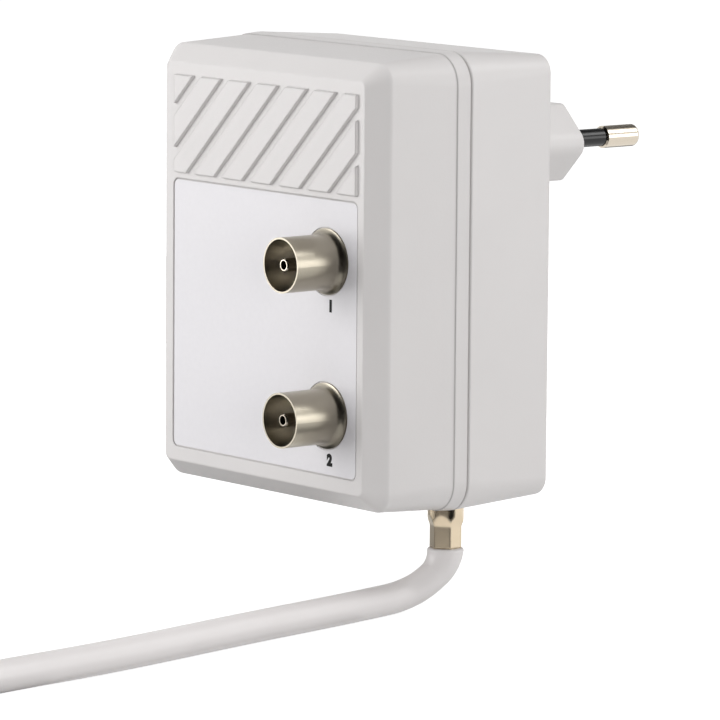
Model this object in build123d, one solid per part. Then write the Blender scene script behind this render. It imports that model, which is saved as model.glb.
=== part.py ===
from build123d import *
import math
import os

# Plug-in aerial amplifier: a two-shell mains housing with two coaxial outlets on its front,
# a two-pin plug on its back and an attached coaxial lead. All lengths are in millimetres.
# The origin is the middle of the plug boss's outer face, +Y goes into the wall, +Z is up,
# and the panel with the two outlets faces -Y.

# Housing
panel_width = 55.1
panel_height = 70.6
panel_corner = 1.2
bevel_depth = 3.35
bevel_inset = 3.0
bevel_corner = 3.4
panel_softness = 0.3
bevel_softness = 1.0
front_depth = 19.85
rear_depth = 19.15
side_draft = 3.65            # degrees
seam_corner = 5.5
rear_corner = 3.2
rear_edge_radius = 0.6
wall = 2.0
skirt_width = 2.75
skirt_step = 0.2
seam_bevel = 0.15
seam_gap = 0.3               # shadow line round the rear shell's rim
seam_gap_depth = 0.5
lip_height = 2.0
lip_thickness = 0.9
lip_clearance = 0.15
cut_overrun = 1.0
snap = 0.01                  # how near an edge lies to the plane that picks it

# Ribbed field above the label
field_left_margin = 2.85
field_right_margin = 1.6
field_height = 17.2
field_margin = 2.25
rib_lean = 17.8              # sideways over the field's height
rib_pitch = 7.93
rib_width = 5.85
rib_phase = 3.46
rib_height = 0.6
rib_draft = 8.0              # degrees

# Label in its recess
label_side_margin = 2.1
label_shift = 0.25           # towards +X
label_field_gap = 1.3
label_margin = 2.75          # from the panel's lower edge
label_corner = 1.0
label_thickness = 0.2
label_recess = 0.3
label_gap = 0.25

# Grip pad on the left wall
pad_height = 15.6
pad_length = 10.0
pad_proud = 1.9
pad_drop = 7.8               # below the middle of the housing
pad_radius = 0.6
pad_root = 1.0

# Plug boss and pins
plug_below_top = 14.4        # from the panel's upper edge
boss_depth = 19.0
boss_height = 13.7
boss_flat = 24.9             # length of the straight upper and lower edges
boss_tip_radius = 2.9
boss_corner_radius = 1.2
boss_edge_radius = 0.8
boss_floor = 7.0
boss_wall = 2.0
pin_spacing = 18.6
pin_diameter = 4.0
pin_reach = 19.0
pin_nose_radius = 0.7
pin_root_depth = 9.5
pin_clearance = 0.05
pin_shoulder = 0.3
sleeve_length = 11.2
sleeve_diameter = 3.2
sleeve_wall = 0.5
tag_diameter = 2.2
tag_length = 3.0

# Coaxial outlets
outlet_from_side = 10.05     # from the panel's right edge
outlet_below_label_top = 10.55
outlet_above_label_bottom = 10.05
outlet_reach = 9.85
outlet_diameter = 9.5
outlet_wall = 0.3
outlet_flange_diameter = 11.4
outlet_flange_thickness = 0.3
outlet_flare = 1.45
outlet_stem_diameter = 7.6
outlet_stem_bore = 6.0
outlet_stem_clearance = 0.2
stem_grip = 0.7              # how far the stem reaches through the can's front
insulator_thickness = 2.4
insulator_clearance = 0.05
contact_diameter = 2.3
contact_bore = 1.6
contact_edge = 0.2
contact_bore_depth = 6.0
contact_recess = 0.65
contact_tail_diameter = 1.2
contact_clearance = 0.05

# Screening can and its contents
can_front_depth = 12.0       # from the panel to the can's front
can_width = 24.0
can_wall_gap = 0.9           # to the front shell's right wall
can_above_outlet = 5.3
can_below_outlet = 7.1
can_sheet = 0.5
can_lid_gap = 0.1
rf_board_thickness = 1.0
rf_board_gap = 0.25
rf_lead_gap = 0.05
transistor_diameter = 4.8
transistor_height = 2.0
transistor_tab = 2.0
transistor_tab_width = 1.0
transistor_tab_thickness = 0.3
transistor_spread = 7.0
splitter_width = 5.0
splitter_height = 3.4
splitter_length = 6.5
splitter_hole = 1.3
splitter_hole_spacing = 2.3
part_gap = 0.1

# Mains board and its parts
board_front_depth = 29.0     # from the panel to the board's component side
board_thickness = 1.6
board_side_margin = 0.55
board_top_margin = 6.3
board_bottom_margin = 5.5
board_corner = 1.5
post_diameter = 5.0
post_inset = 5.5
core_width = 28.0
core_height = 22.0
core_stack = 12.5
core_leg_share = 0.1607       # of the core's width; the centre leg takes twice as much
core_below_edge = 9.0        # from the board's upper edge
core_gap = 0.3
bobbin_wall = 0.8
bobbin_gap = 0.2
winding_swell = 3.8
primary_share = 0.6
capacitor_1_diameter = 10.0
capacitor_1_length = 16.0
capacitor_2_diameter = 8.0
capacitor_2_length = 12.0
capacitor_from_edge = 1.5     # from the board's left edge to the larger one's side
capacitor_above_edge = 10.3  # from the board's lower edge
capacitor_gap = 4.5
capacitor_groove = 0.4
capacitor_groove_height = 2.0
capacitor_edge = 0.7
diode_diameter = 2.7
diode_length = 5.2
diode_lead_diameter = 0.8
diode_lead_span = 8.4
diode_pitch = 4.6
diode_count = 4
regulator_width = 10.0
regulator_height = 9.2
regulator_body = 4.4
regulator_tab = 1.3
regulator_tab_rise = 6.2
regulator_hole = 3.6
regulator_lead = 0.8
regulator_lead_pitch = 2.54
regulator_lead_length = 4.0
regulator_above_edge = 7.8   # from the board's lower edge

# Case screws
pillar_diameter = 6.0
well_wall = 0.9
screw_head_diameter = 5.0
screw_head_height = 2.0
screw_shank_diameter = 2.3
screw_clearance = 0.2
screw_bite = 9.0
screw_seat = 3.0             # plastic under the head
screw_cross_width = 0.9
screw_cross_depth = 1.1
upper_screw_from_side = 2.35
upper_screw_below_top = 2.3
lower_screw_x = -8.0
lower_screw_above_bottom = 1.5
pillar_root = 0.2

# Lead entry at the seam
entry_from_side = 5.35       # from the panel's right edge
entry_clearance = 0.15
ferrule_diameter = 6.3
ferrule_flats = 4.9
ferrule_reach = 7.35         # below the skirt
ferrule_top_gap = 0.1
crimp_length = 3.9
crimp_run_in = 2.1
crimp_sides = 6
crimp_turn = -53.0           # degrees from +X towards +Y, to the middle of a flat
ferrule_wall = 0.5
ferrule_bore = 3.9
spigot_bore = 3.9
spigot_wall = 0.55
spigot_flange_diameter = 7.6
spigot_flange_thickness = 0.8
spigot_clearance = 0.1
spigot_rise = 1.5            # through the can's bottom
dielectric_diameter = 3.6
conductor_diameter = 0.8
conductor_rise = 6.0
dielectric_rise = 2.5

# Lead
cord_diameter = 5.4
jacket_diameter = 6.5
jacket_bend_radius = 6.0
jacket_bend = 50.0           # degrees
jacket_heading = -12.0       # degrees from -Y towards +X
jacket_edge = 0.5
cord_first_run = 2.6
cord_drop = 8.1              # from the ferrule's end to the middle of the lying lead
cord_bend_share = 0.45       # of the shorter run, taken up by each corner's arc
coil_outer_radius = 36.5
coil_pitch = 5.9
coil_layer_step = 5.9
coil_half_turns = 5          # in each of the two layers, apart from the climb
coil_climb_inset = 1.0       # the climb keeps this much further in
coil_heading = 11.8          # degrees from -Y towards +X
coil_start_x = 46.3
coil_start_y = -166.5
coil_level_run = 20.0
tie_thickness = 0.6
tie_width = 4.0
tie_gap = 0.35
tie_corner = 2.5
tail_length = 22.0
tail_shift = 3.0

# Coupling on the far end
coupling_length = 26.0
coupling_diameter = 12.4
coupling_neck_diameter = 7.2
coupling_neck_length = 9.0
coupling_grip_depth = 0.5
coupling_grip_width = 1.2
coupling_grip_pitch = 2.6
coupling_grips = 5
coupling_edge = 0.8
barrel_diameter = 10.8
barrel_bore = 9.6
barrel_reach = 9.0
barrel_root = 4.0
barrel_edge = 0.25
socket_insulator_length = 3.0
socket_contact_diameter = 3.2
socket_contact_bore = 2.4
socket_contact_reach = 7.5
socket_contact_bore_depth = 6.5

# Places that follow from the sizes above
draft = math.tan(math.radians(side_draft))
middle_z = plug_below_top - panel_height / 2
rear_y = -boss_depth
seam_y = rear_y - rear_depth
front_y = seam_y - front_depth
bevel_slope = bevel_inset / bevel_depth
seam_growth = bevel_inset + draft * (front_depth - bevel_depth)
skirt_growth = seam_growth + skirt_step
rear_growth = skirt_growth - draft * rear_depth
panel_top = middle_z + panel_height / 2
panel_bottom = middle_z - panel_height / 2
recess_floor_y = front_y + label_recess
inner_front_y = front_y + wall
inner_rear_y = rear_y - wall
board_front_y = front_y + board_front_depth
board_back_y = board_front_y + board_thickness
can_front_y = front_y + can_front_depth
can_back_y = board_front_y - can_lid_gap
field_width = panel_width - field_left_margin - field_right_margin
label_width = panel_width - 2 * label_side_margin
label_top = panel_top - field_margin - field_height - label_field_gap
label_bottom = panel_bottom + label_margin
label_height = label_top - label_bottom
outlet_x = panel_width / 2 - outlet_from_side
outlet_heights = [label_top - outlet_below_label_top, label_bottom + outlet_above_label_bottom]
can_wall_growth = bevel_inset + draft * (can_front_depth - bevel_depth) - wall
can_right = panel_width / 2 + can_wall_growth - can_wall_gap
can_left = can_right - can_width
can_top_z = outlet_heights[0] + can_above_outlet
can_bottom_z = outlet_heights[1] - can_below_outlet
board_width = panel_width - 2 * board_side_margin
board_top = panel_top - board_top_margin
board_bottom = panel_bottom + board_bottom_margin
entry_x = panel_width / 2 - entry_from_side
entry_y = seam_y + ferrule_diameter / 2 + entry_clearance
ferrule_end_z = panel_bottom - skirt_growth - ferrule_reach
ferrule_top_z = can_bottom_z - spigot_flange_thickness - ferrule_top_gap
rf_board_back_y = entry_y - conductor_diameter / 2 - rf_lead_gap
rf_board_front_y = rf_board_back_y - rf_board_thickness
spigot_top_z = can_bottom_z + can_sheet + spigot_rise
dielectric_top_z = spigot_top_z + dielectric_rise
cord_z = ferrule_end_z - cord_drop
floor_z = cord_z - cord_diameter / 2
coil_z = cord_z + tie_gap + tie_thickness
coupling_z = floor_z + coupling_diameter / 2
screw_places = [
    (upper_screw_from_side - panel_width / 2, panel_top - upper_screw_below_top),
    (panel_width / 2 - upper_screw_from_side, panel_top - upper_screw_below_top),
    (lower_screw_x, panel_bottom + lower_screw_above_bottom),
]


# Shared shapes
def facing(x, y, z):
    """Plane at a point, seen from the front: local X is +X, local Y is +Z, its normal is -Y."""
    return Plane(origin=(x, y, z), x_dir=(1, 0, 0), z_dir=(0, -1, 0))


def section(y, growth, corner):
    """Rounded rectangle parallel to the panel and larger than it by growth on each side."""
    width = panel_width + 2 * growth
    height = panel_height + 2 * growth
    return facing(0, y, middle_z) * RectangleRounded(width, height, corner)


def turned(profile, place=Location()):
    """Solid of revolution from (radius, height) points, turned about the place's own Z."""
    face = make_face(Plane.XZ * Polyline(*profile, close=True))
    return place * revolve(face, Axis.Z)


def rod(radius, start, end, x, z):
    """Round bar along Y from start to end."""
    bar = Cylinder(radius, abs(end - start))
    return Pos(x, (start + end) / 2, z) * Rot(X=90) * bar


def block(x_low, x_high, y_low, y_high, z_low, z_high):
    box = Box(x_high - x_low, y_high - y_low, z_high - z_low)
    return Pos((x_low + x_high) / 2, (y_low + y_high) / 2, (z_low + z_high) / 2) * box


def edges_at(shape, y):
    return shape.edges().filter_by_position(Axis.Y, y - snap, y + snap)


# Housing shells
def front_outside():
    """Bevelled panel, drafted walls and the slightly proud skirt at the seam."""
    body = loft([
        section(front_y, 0, panel_corner),
        section(front_y + bevel_depth, bevel_inset, bevel_corner),
        section(seam_y, seam_growth, seam_corner),
    ], ruled=True)
    body = fillet(edges_at(body, front_y + bevel_depth), bevel_softness)
    body = fillet(edges_at(body, front_y), panel_softness)
    skirt_y = seam_y - skirt_width
    skirt = loft([
        section(skirt_y, skirt_growth - draft * skirt_width, seam_corner),
        section(seam_y - seam_bevel, skirt_growth, seam_corner),
        section(seam_y, skirt_growth - seam_bevel, seam_corner - seam_bevel),
    ], ruled=True)
    return body + skirt


def front_inside():
    """Cavity whose walls stay one wall thickness inside the bevel and the drafted sides."""
    bevel_stretch = wall * math.hypot(1, bevel_slope)
    side_stretch = wall * math.hypot(1, draft)
    knee = (bevel_inset - draft * bevel_depth - side_stretch + bevel_stretch) / (bevel_slope - draft)
    knee_growth = bevel_slope * knee - bevel_stretch
    inner_corner = seam_corner - wall
    return loft([
        section(inner_front_y, bevel_slope * wall - bevel_stretch, panel_corner),
        section(front_y + knee, knee_growth, bevel_corner - wall),
        section(seam_y, seam_growth - side_stretch, inner_corner),
    ], ruled=True)


def seam_lip(gap):
    """Tongue on the front shell's rim, or with a gap the room that the rear shell leaves for it."""
    outer = section(seam_y, skirt_growth - wall + lip_thickness + gap, seam_corner - wall + lip_thickness)
    return extrude(outer, -(lip_height + gap))


def rib_field():
    """Slanting raised ribs, cut off at the edges of their field."""
    bottom = panel_top - field_margin - field_height
    left = field_left_margin - panel_width / 2
    plane = facing(0, front_y, 0)
    frame = Pos(left + field_width / 2, bottom + field_height / 2) * Rectangle(field_width, field_height)
    first = -math.ceil((rib_phase + rib_lean) / rib_pitch)
    last = math.ceil((field_width - rib_phase + rib_width) / rib_pitch)
    ribs = []
    for number in range(first, last + 1):
        foot = left + rib_phase + number * rib_pitch
        outline = Polyline(
            (foot - rib_width, bottom),
            (foot, bottom),
            (foot + rib_lean, bottom + field_height),
            (foot + rib_lean - rib_width, bottom + field_height),
            close=True,
        )
        shown = make_face(outline) & frame
        if shown and shown.area > rib_height ** 2:
            ribs.append(extrude(plane * shown, rib_height, taper=rib_draft))
    return ribs


def label_outline(gap):
    shape = RectangleRounded(label_width + 2 * gap, label_height + 2 * gap, label_corner + gap)
    return facing(label_shift, recess_floor_y, (label_top + label_bottom) / 2) * shape


def grip_pad():
    start = front_y + bevel_depth
    centre_z = middle_z - pad_drop
    side = -(panel_width / 2 + bevel_inset)
    pad = block(side - pad_proud, side + pad_root, start, start + pad_length,
                centre_z - pad_height / 2, centre_z + pad_height / 2)
    return fillet(pad.edges().group_by(Axis.X)[0], pad_radius)


def entry_hole():
    """Hole for the ferrule with a straight way to the seam."""
    radius = ferrule_diameter / 2 + entry_clearance
    low = panel_bottom - skirt_growth - cut_overrun
    high = panel_bottom - skirt_growth + 3 * wall
    hole = Pos(entry_x, entry_y, (low + high) / 2) * Cylinder(radius, high - low)
    way = block(entry_x - radius, entry_x + radius, seam_y, entry_y, low, high)
    return hole + way


def front_shell():
    shell = front_outside() - front_inside()
    shell += seam_lip(0) - extrude(section(seam_y, skirt_growth - wall, seam_corner - wall), -lip_height)
    shell += grip_pad()
    for x, z in screw_places:
        pillar = rod(pillar_diameter / 2, inner_front_y - pillar_root, seam_y, x, z) & front_outside()
        pilot = rod(screw_shank_diameter / 2 + pin_clearance, seam_y - screw_bite, seam_y, x, z)
        shell = shell + pillar - pilot
    shell += rib_field()
    shell -= extrude(label_outline(label_gap), label_recess + cut_overrun)
    for z in outlet_heights:
        shell -= rod(outlet_stem_diameter / 2 + outlet_stem_clearance, front_y - cut_overrun,
                     inner_front_y + cut_overrun, outlet_x, z)
    return shell - entry_hole()


def boss_outline(y, inset):
    """Flat hexagon with 45 degree ends, as seen from the wall."""
    half = boss_height / 2 - inset
    flat = boss_flat / 2 - inset * (math.sqrt(2) - 1)
    tip = flat + half
    outline = make_face(Polyline((flat, half), (tip, 0), (flat, -half), (-flat, -half), (-tip, 0),
                                 (-flat, half), close=True))
    tips = outline.vertices().group_by(Axis.X)
    tip_radius = boss_tip_radius - inset / 2
    outline = fillet(tips[0] + tips[-1], tip_radius)
    corners = outline.vertices().filter_by(lambda v: abs(abs(v.Y) - half) < snap)
    outline = fillet(corners, boss_corner_radius)
    return facing(0, y, 0) * outline


def rear_outside():
    rim_y = seam_y + seam_gap
    body = loft([
        section(rim_y, skirt_growth - seam_bevel, seam_corner - seam_bevel),
        section(rim_y + seam_bevel, skirt_growth, seam_corner),
        section(rear_y, rear_growth, rear_corner),
    ], ruled=True)
    body = fillet(edges_at(body, rear_y), rear_edge_radius)
    body += extrude(section(rim_y, skirt_growth - seam_gap_depth, seam_corner - seam_gap_depth), seam_gap)
    boss = extrude(boss_outline(0, 0), boss_depth + wall / 2)
    return body + fillet(edges_at(boss, 0), boss_edge_radius)


def rear_inside():
    cavity = loft([
        section(seam_y, skirt_growth - wall, seam_corner - wall),
        section(inner_rear_y, rear_growth + draft * wall - wall, rear_corner - wall),
    ], ruled=True)
    hollow = extrude(boss_outline(-boss_floor, boss_wall), boss_depth + wall - boss_floor)
    return cavity + hollow


def board_posts():
    """Four posts from the rear wall to the corners of the mains board."""
    side = board_width / 2 - post_inset
    heights = (board_bottom + post_inset, board_top - post_inset)
    places = [(x, z) for x in (-side, side) for z in heights]
    return [rod(post_diameter / 2, board_back_y, inner_rear_y + wall / 2, x, z) for x, z in places]


def rear_shell():
    shell = rear_outside() - rear_inside()
    seat_y = seam_y + screw_seat
    well_radius = screw_head_diameter / 2 + screw_clearance
    keep = rear_outside()
    for x, z in screw_places:
        column = rod(well_radius + well_wall, seam_y, rear_y - wall / 2, x, z) & keep
        well = rod(well_radius, seat_y, rear_y + cut_overrun, x, z)
        through = rod(screw_shank_diameter / 2 + screw_clearance, seam_y - cut_overrun, seat_y, x, z)
        shell = shell + column - well - through
    shell += board_posts()
    shell -= seam_lip(lip_clearance)
    for side in (-1, 1):
        shell -= rod(pin_diameter / 2 + pin_clearance, -boss_depth, cut_overrun, side * pin_spacing / 2, 0)
    return shell - entry_hole()


def label_plate():
    plate = extrude(label_outline(0), label_thickness)
    for z in outlet_heights:
        plate -= rod(outlet_flange_diameter / 2 + label_gap, recess_floor_y, front_y - cut_overrun,
                     outlet_x, z)
    return plate


def case_screws():
    """Cross-head screws that pull the rear shell onto the front shell's pillars."""
    screws = []
    seat_y = seam_y + screw_seat
    for x, z in screw_places:
        shank = rod(screw_shank_diameter / 2, seam_y - screw_bite + screw_clearance, seat_y, x, z)
        head = rod(screw_head_diameter / 2, seat_y, seat_y + screw_head_height, x, z)
        head_y = seat_y + screw_head_height
        arm = screw_head_diameter / 3
        for across, up in ((arm, screw_cross_width / 2), (screw_cross_width / 2, arm)):
            head -= block(x - across, x + across, head_y - screw_cross_depth, head_y + cut_overrun,
                          z - up, z + up)
        screws.append(shank + head)
    return screws


# Mains plug
def plug_place(side):
    """Origin in the boss's face on a pin's axis, with local Z into the wall."""
    return Plane(origin=(side * pin_spacing / 2, 0, 0), x_dir=(1, 0, 0), z_dir=(0, 1, 0)).location


def mains_pin(side):
    outer = pin_diameter / 2
    neck = sleeve_diameter / 2 - sleeve_wall
    pin = turned([
        (0, -pin_root_depth - tag_length),
        (tag_diameter / 2, -pin_root_depth - tag_length),
        (tag_diameter / 2, -pin_root_depth),
        (outer, -pin_root_depth),
        (outer, -pin_shoulder),
        (neck, -pin_shoulder),
        (neck, sleeve_length),
        (outer - pin_shoulder, sleeve_length),
        (outer, sleeve_length + pin_shoulder),
        (outer, pin_reach),
        (0, pin_reach),
    ])
    pin = fillet(pin.edges().group_by(Axis.Z)[-1], pin_nose_radius)
    return plug_place(side) * pin


def pin_sleeve(side):
    outer = sleeve_diameter / 2
    inner = outer - sleeve_wall + pin_clearance
    low = pin_clearance - pin_shoulder
    high = sleeve_length - pin_clearance
    return turned([(inner, low), (outer, low), (outer, high), (inner, high)], plug_place(side))


def mains_wires():
    """One insulated wire from each pin's tag to the mains board."""
    start = -pin_root_depth - tag_length
    return [rod(tag_diameter / 2, board_back_y, start, side * pin_spacing / 2, 0) for side in (-1, 1)]


# Coaxial outlets
def outlet_place(z):
    """Origin on the outlet's axis in the recess floor, with local Z out of the panel."""
    return facing(outlet_x, recess_floor_y, z).location


def outlet_shell(z):
    """Thin drawn shell with a flared foot on the panel and a stem into the can."""
    outer = outlet_diameter / 2
    inner = outer - outlet_wall
    reach = outlet_reach + label_recess
    foot = outlet_flange_diameter / 2
    thick = outlet_flange_thickness
    stem = outlet_stem_diameter / 2
    bore = outlet_stem_bore / 2
    stem_end = recess_floor_y - can_front_y - can_sheet - stem_grip
    outline = Curve() + [
        Line((bore, stem_end), (stem, stem_end)),
        Line((stem, stem_end), (stem, 0)),
        Line((stem, 0), (foot, 0)),
        Line((foot, 0), (foot, thick)),
        TangentArc((outer, thick + outlet_flare), (foot, thick), tangent=(0, -1)),
        Line((outer, thick + outlet_flare), (outer, reach)),
        Line((outer, reach), (inner, reach)),
        Line((inner, reach), (inner, outlet_wall)),
        Line((inner, outlet_wall), (bore, outlet_wall)),
        Line((bore, outlet_wall), (bore, stem_end)),
    ]
    return outlet_place(z) * revolve(make_face(Plane.XZ * outline), Axis.Z)


def outlet_insulator(z):
    bore = outlet_stem_bore / 2 - insulator_clearance
    hole = contact_diameter / 2 + contact_clearance
    top = outlet_wall
    low = top - insulator_thickness
    return turned([(hole, low), (bore, low), (bore, top), (hole, top)], outlet_place(z))


def outlet_contact(z):
    """Hollow centre contact whose tail is soldered to the radio board."""
    radius = contact_diameter / 2
    bore = contact_bore / 2
    tail = contact_tail_diameter / 2
    top = outlet_reach + label_recess - contact_recess
    waist = outlet_wall - insulator_thickness - outlet_wall
    low = recess_floor_y - rf_board_front_y
    return turned([
        (0, low),
        (tail, low),
        (tail, waist),
        (radius, waist),
        (radius, top - contact_edge),
        (radius - contact_edge, top),
        (bore, top),
        (bore, top - contact_bore_depth),
        (0, top - contact_bore_depth),
    ], outlet_place(z))


# Screening can
def shield_can():
    """Folded tinplate box, open to the back."""
    can = block(can_left, can_right, can_front_y, can_back_y - can_sheet, can_bottom_z, can_top_z)
    can -= block(can_left + can_sheet, can_right - can_sheet, can_front_y + can_sheet, can_back_y,
                 can_bottom_z + can_sheet, can_top_z - can_sheet)
    for z in outlet_heights:
        can -= rod(outlet_stem_diameter / 2 + pin_clearance, can_front_y - cut_overrun,
                   can_front_y + can_sheet + cut_overrun, outlet_x, z)
    hole = Cylinder(spigot_bore / 2 + spigot_wall + pin_clearance, can_sheet + cut_overrun)
    return can - Pos(entry_x, entry_y, can_bottom_z + can_sheet / 2) * hole


def shield_lid():
    return block(can_left, can_right, can_back_y - can_sheet, can_back_y, can_bottom_z, can_top_z)


def radio_board():
    """Board across the can, above the lead's insulation, with the inner conductor at its back."""
    inset = can_sheet + rf_board_gap
    return block(can_left + inset, can_right - inset, rf_board_front_y, rf_board_back_y,
                 dielectric_top_z + rf_board_gap, can_top_z - inset)


def transistors():
    """Disc transistors with four flat leads, one by each outlet."""
    found = []
    y_high = rf_board_front_y - transistor_tab_thickness
    for z in outlet_heights:
        x = outlet_x - transistor_spread
        body = rod(transistor_diameter / 2, y_high - transistor_height, y_high, x, z)
        reach = transistor_diameter / 2 + transistor_tab
        half = transistor_tab_width / 2
        for across, up in ((reach, half), (half, reach)):
            body += block(x - across, x + across, y_high, rf_board_front_y, z - up, z + up)
        found.append(body)
    return found


def splitter_core():
    """Two-hole ferrite core that shares the signal between the outlets."""
    z = sum(outlet_heights) / 2
    y_high = rf_board_front_y - part_gap
    half = splitter_width / 2
    core = block(outlet_x - half, outlet_x + half, y_high - splitter_height, y_high,
                 z - splitter_length / 2, z + splitter_length / 2)
    for side in (-1, 1):
        hole = Cylinder(splitter_hole / 2, splitter_length + cut_overrun)
        core -= Pos(outlet_x + side * splitter_hole_spacing / 2, y_high - splitter_height / 2, z) * hole
    return core


# Mains board
def circuit_board():
    outline = RectangleRounded(board_width, board_top - board_bottom, board_corner)
    return extrude(facing(0, board_back_y, (board_bottom + board_top) / 2) * outline, board_thickness)


core_leg = core_width * core_leg_share
core_centre_leg = 2 * core_leg
core_back_y = board_front_y - core_gap
core_front_y = core_back_y - core_height
core_z = board_top - core_below_edge
window_front_y = core_front_y + core_leg
window_back_y = core_back_y - core_leg


def transformer_core():
    """Stack of E and I laminations with a window on each side of the centre leg."""
    half = core_width / 2
    low = core_z - core_stack / 2
    high = core_z + core_stack / 2
    core = block(-half, half, core_front_y, core_back_y, low, high)
    for side in (-1, 1):
        near = side * core_centre_leg / 2
        far = side * (half - core_leg)
        core -= block(min(near, far), max(near, far), window_front_y, window_back_y,
                      low - cut_overrun, high + cut_overrun)
    return core


def around_leg(y_low, y_high, inner_gap, outer_x, outer_z):
    """Rectangular ring round the centre leg."""
    inner_x = core_centre_leg / 2 + inner_gap
    inner_z = core_stack / 2 + inner_gap
    ring = block(-outer_x, outer_x, y_low, y_high, core_z - outer_z, core_z + outer_z)
    return ring - block(-inner_x, inner_x, y_low - cut_overrun, y_high + cut_overrun,
                        core_z - inner_z, core_z + inner_z)


coil_low_y = window_front_y + bobbin_gap
coil_high_y = window_back_y - bobbin_gap
flange_x = core_width / 2 - core_leg - bobbin_gap
flange_z = core_stack / 2 + winding_swell
split_y = coil_low_y + (coil_high_y - coil_low_y) * primary_share
capacitor_x = -board_width / 2 + capacitor_from_edge + capacitor_1_diameter / 2
capacitor_2_z = board_bottom + capacitor_above_edge
capacitor_1_z = capacitor_2_z + (capacitor_1_diameter + capacitor_2_diameter) / 2 + capacitor_gap
rectifier_x = (capacitor_x + capacitor_1_diameter / 2 + can_left) / 2
regulator_z = board_bottom + regulator_above_edge
rectifier_z = (core_z - flange_z + regulator_z + regulator_body / 2) / 2


def transformer_bobbin():
    """Moulded bobbin with a flange at each end and one between the windings."""
    tube_x = core_centre_leg / 2 + bobbin_gap + bobbin_wall
    tube_z = core_stack / 2 + bobbin_gap + bobbin_wall
    bobbin = around_leg(coil_low_y, coil_high_y, bobbin_gap, tube_x, tube_z)
    for y in (coil_low_y, split_y, coil_high_y - bobbin_wall):
        bobbin += around_leg(y, y + bobbin_wall, bobbin_gap, flange_x, flange_z)
    return bobbin


def winding(y_low, y_high):
    """Turns of enamelled wire as one rounded ring between two flanges."""
    inner = bobbin_gap + bobbin_wall + part_gap
    ring = around_leg(y_low + part_gap, y_high - part_gap, inner, flange_x - part_gap,
                      flange_z - 2 * bobbin_gap)
    corners = ring.edges().filter_by(Axis.Y).group_by(SortBy.DISTANCE)[-1]
    return fillet(corners, bobbin_wall)


def capacitors():
    """Can electrolytics with a crimp groove, standing on the mains board."""
    made = []
    sizes = (
        (capacitor_1_diameter, capacitor_1_length, capacitor_1_z),
        (capacitor_2_diameter, capacitor_2_length, capacitor_2_z),
    )
    for diameter, length, z in sizes:
        outer = diameter / 2
        groove = outer - capacitor_groove
        low = capacitor_groove_height
        can = turned([
            (0, 0),
            (outer, 0),
            (outer, low - capacitor_groove),
            (groove, low),
            (outer, low + capacitor_groove),
            (outer, length - capacitor_edge),
            (outer - capacitor_edge, length),
            (0, length),
        ])
        made.append(facing(capacitor_x, board_front_y - part_gap, z).location * can)
    return made


def rectifier_diodes():
    """Axial diodes lying side by side on the mains board."""
    made = []
    y = board_front_y - part_gap - diode_diameter / 2
    reach = (diode_lead_span - diode_lead_diameter) / 2
    for number in range(diode_count):
        z = rectifier_z + (number - (diode_count - 1) / 2) * diode_pitch
        body = Pos(rectifier_x, y, z) * Rot(Y=90) * Cylinder(diode_diameter / 2, diode_length)
        left, right = rectifier_x - reach, rectifier_x + reach
        path = FilletPolyline((left, board_front_y, z), (left, y, z), (right, y, z),
                              (right, board_front_y, z), radius=diode_lead_diameter)
        start = Plane(origin=(left, board_front_y, z), z_dir=(0, -1, 0))
        lead = sweep(start * Circle(diode_lead_diameter / 2), path=path)
        made.append(body + lead)
    return made


def voltage_regulator():
    """Upright regulator with a holed metal tab and three leads."""
    foot = board_front_y - regulator_lead_length
    top = foot - regulator_height
    half = regulator_width / 2
    back = regulator_z - regulator_body / 2
    body = block(rectifier_x - half, rectifier_x + half, top, foot, back, back + regulator_body)
    tab_top = top - regulator_tab_rise
    tab = block(rectifier_x - half, rectifier_x + half, tab_top, top, back, back + regulator_tab)
    hole = Cylinder(regulator_hole / 2, 2 * regulator_tab + cut_overrun)
    hole = Pos(rectifier_x, (tab_top + top) / 2, back) * hole
    body += tab - hole
    for number in (-1, 0, 1):
        x = rectifier_x + number * regulator_lead_pitch
        thick = regulator_lead / 2
        body += block(x - thick, x + thick, foot, board_front_y, regulator_z - thick, regulator_z + thick)
    return body


# Lead entry
def entry_place(z):
    return Location((entry_x, entry_y, z))


def hexagon_bar(height, taper=0):
    """Bar with the middle of a flat towards +X."""
    outline = RegularPolygon(ferrule_flats / 2, crimp_sides, major_radius=False, rotation=180 / crimp_sides)
    return extrude(outline, height, taper=taper)


def crimp_ferrule():
    """Round tube whose lower end is crimped to a hexagon, with a sloping facet above each flat."""
    radius = ferrule_diameter / 2
    total = ferrule_top_z - ferrule_end_z
    growth = radius - ferrule_flats / 2
    slope = math.degrees(math.atan(growth / crimp_run_in))
    grip = hexagon_bar(crimp_length)
    flare_height = total - crimp_length
    flare = Pos(0, 0, crimp_length) * hexagon_bar(flare_height, taper=-slope)
    turn = Rot(Z=crimp_turn)
    body = (turn * (grip + flare)) & (Pos(0, 0, total / 2) * Cylinder(radius, total))
    body -= Pos(0, 0, total / 2) * Cylinder(ferrule_bore / 2, total + cut_overrun)
    socket_low = crimp_length + crimp_run_in
    body -= Pos(0, 0, (socket_low + total) / 2 + cut_overrun / 2) * Cylinder(
        radius - ferrule_wall, total - socket_low + cut_overrun)
    return entry_place(ferrule_end_z) * body


def cable_spigot():
    """Flanged tube on the can's bottom that the ferrule grips the screen against."""
    bore = spigot_bore / 2
    outer = bore + spigot_wall
    top = spigot_top_z
    low = ferrule_end_z + crimp_length + crimp_run_in + spigot_clearance
    flange_top = can_bottom_z
    flange_low = can_bottom_z - spigot_flange_thickness
    return turned([
        (bore, low),
        (outer, low),
        (outer, flange_low),
        (spigot_flange_diameter / 2, flange_low),
        (spigot_flange_diameter / 2, flange_top),
        (outer, flange_top),
        (outer, top),
        (bore, top),
    ], entry_place(0))


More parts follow.
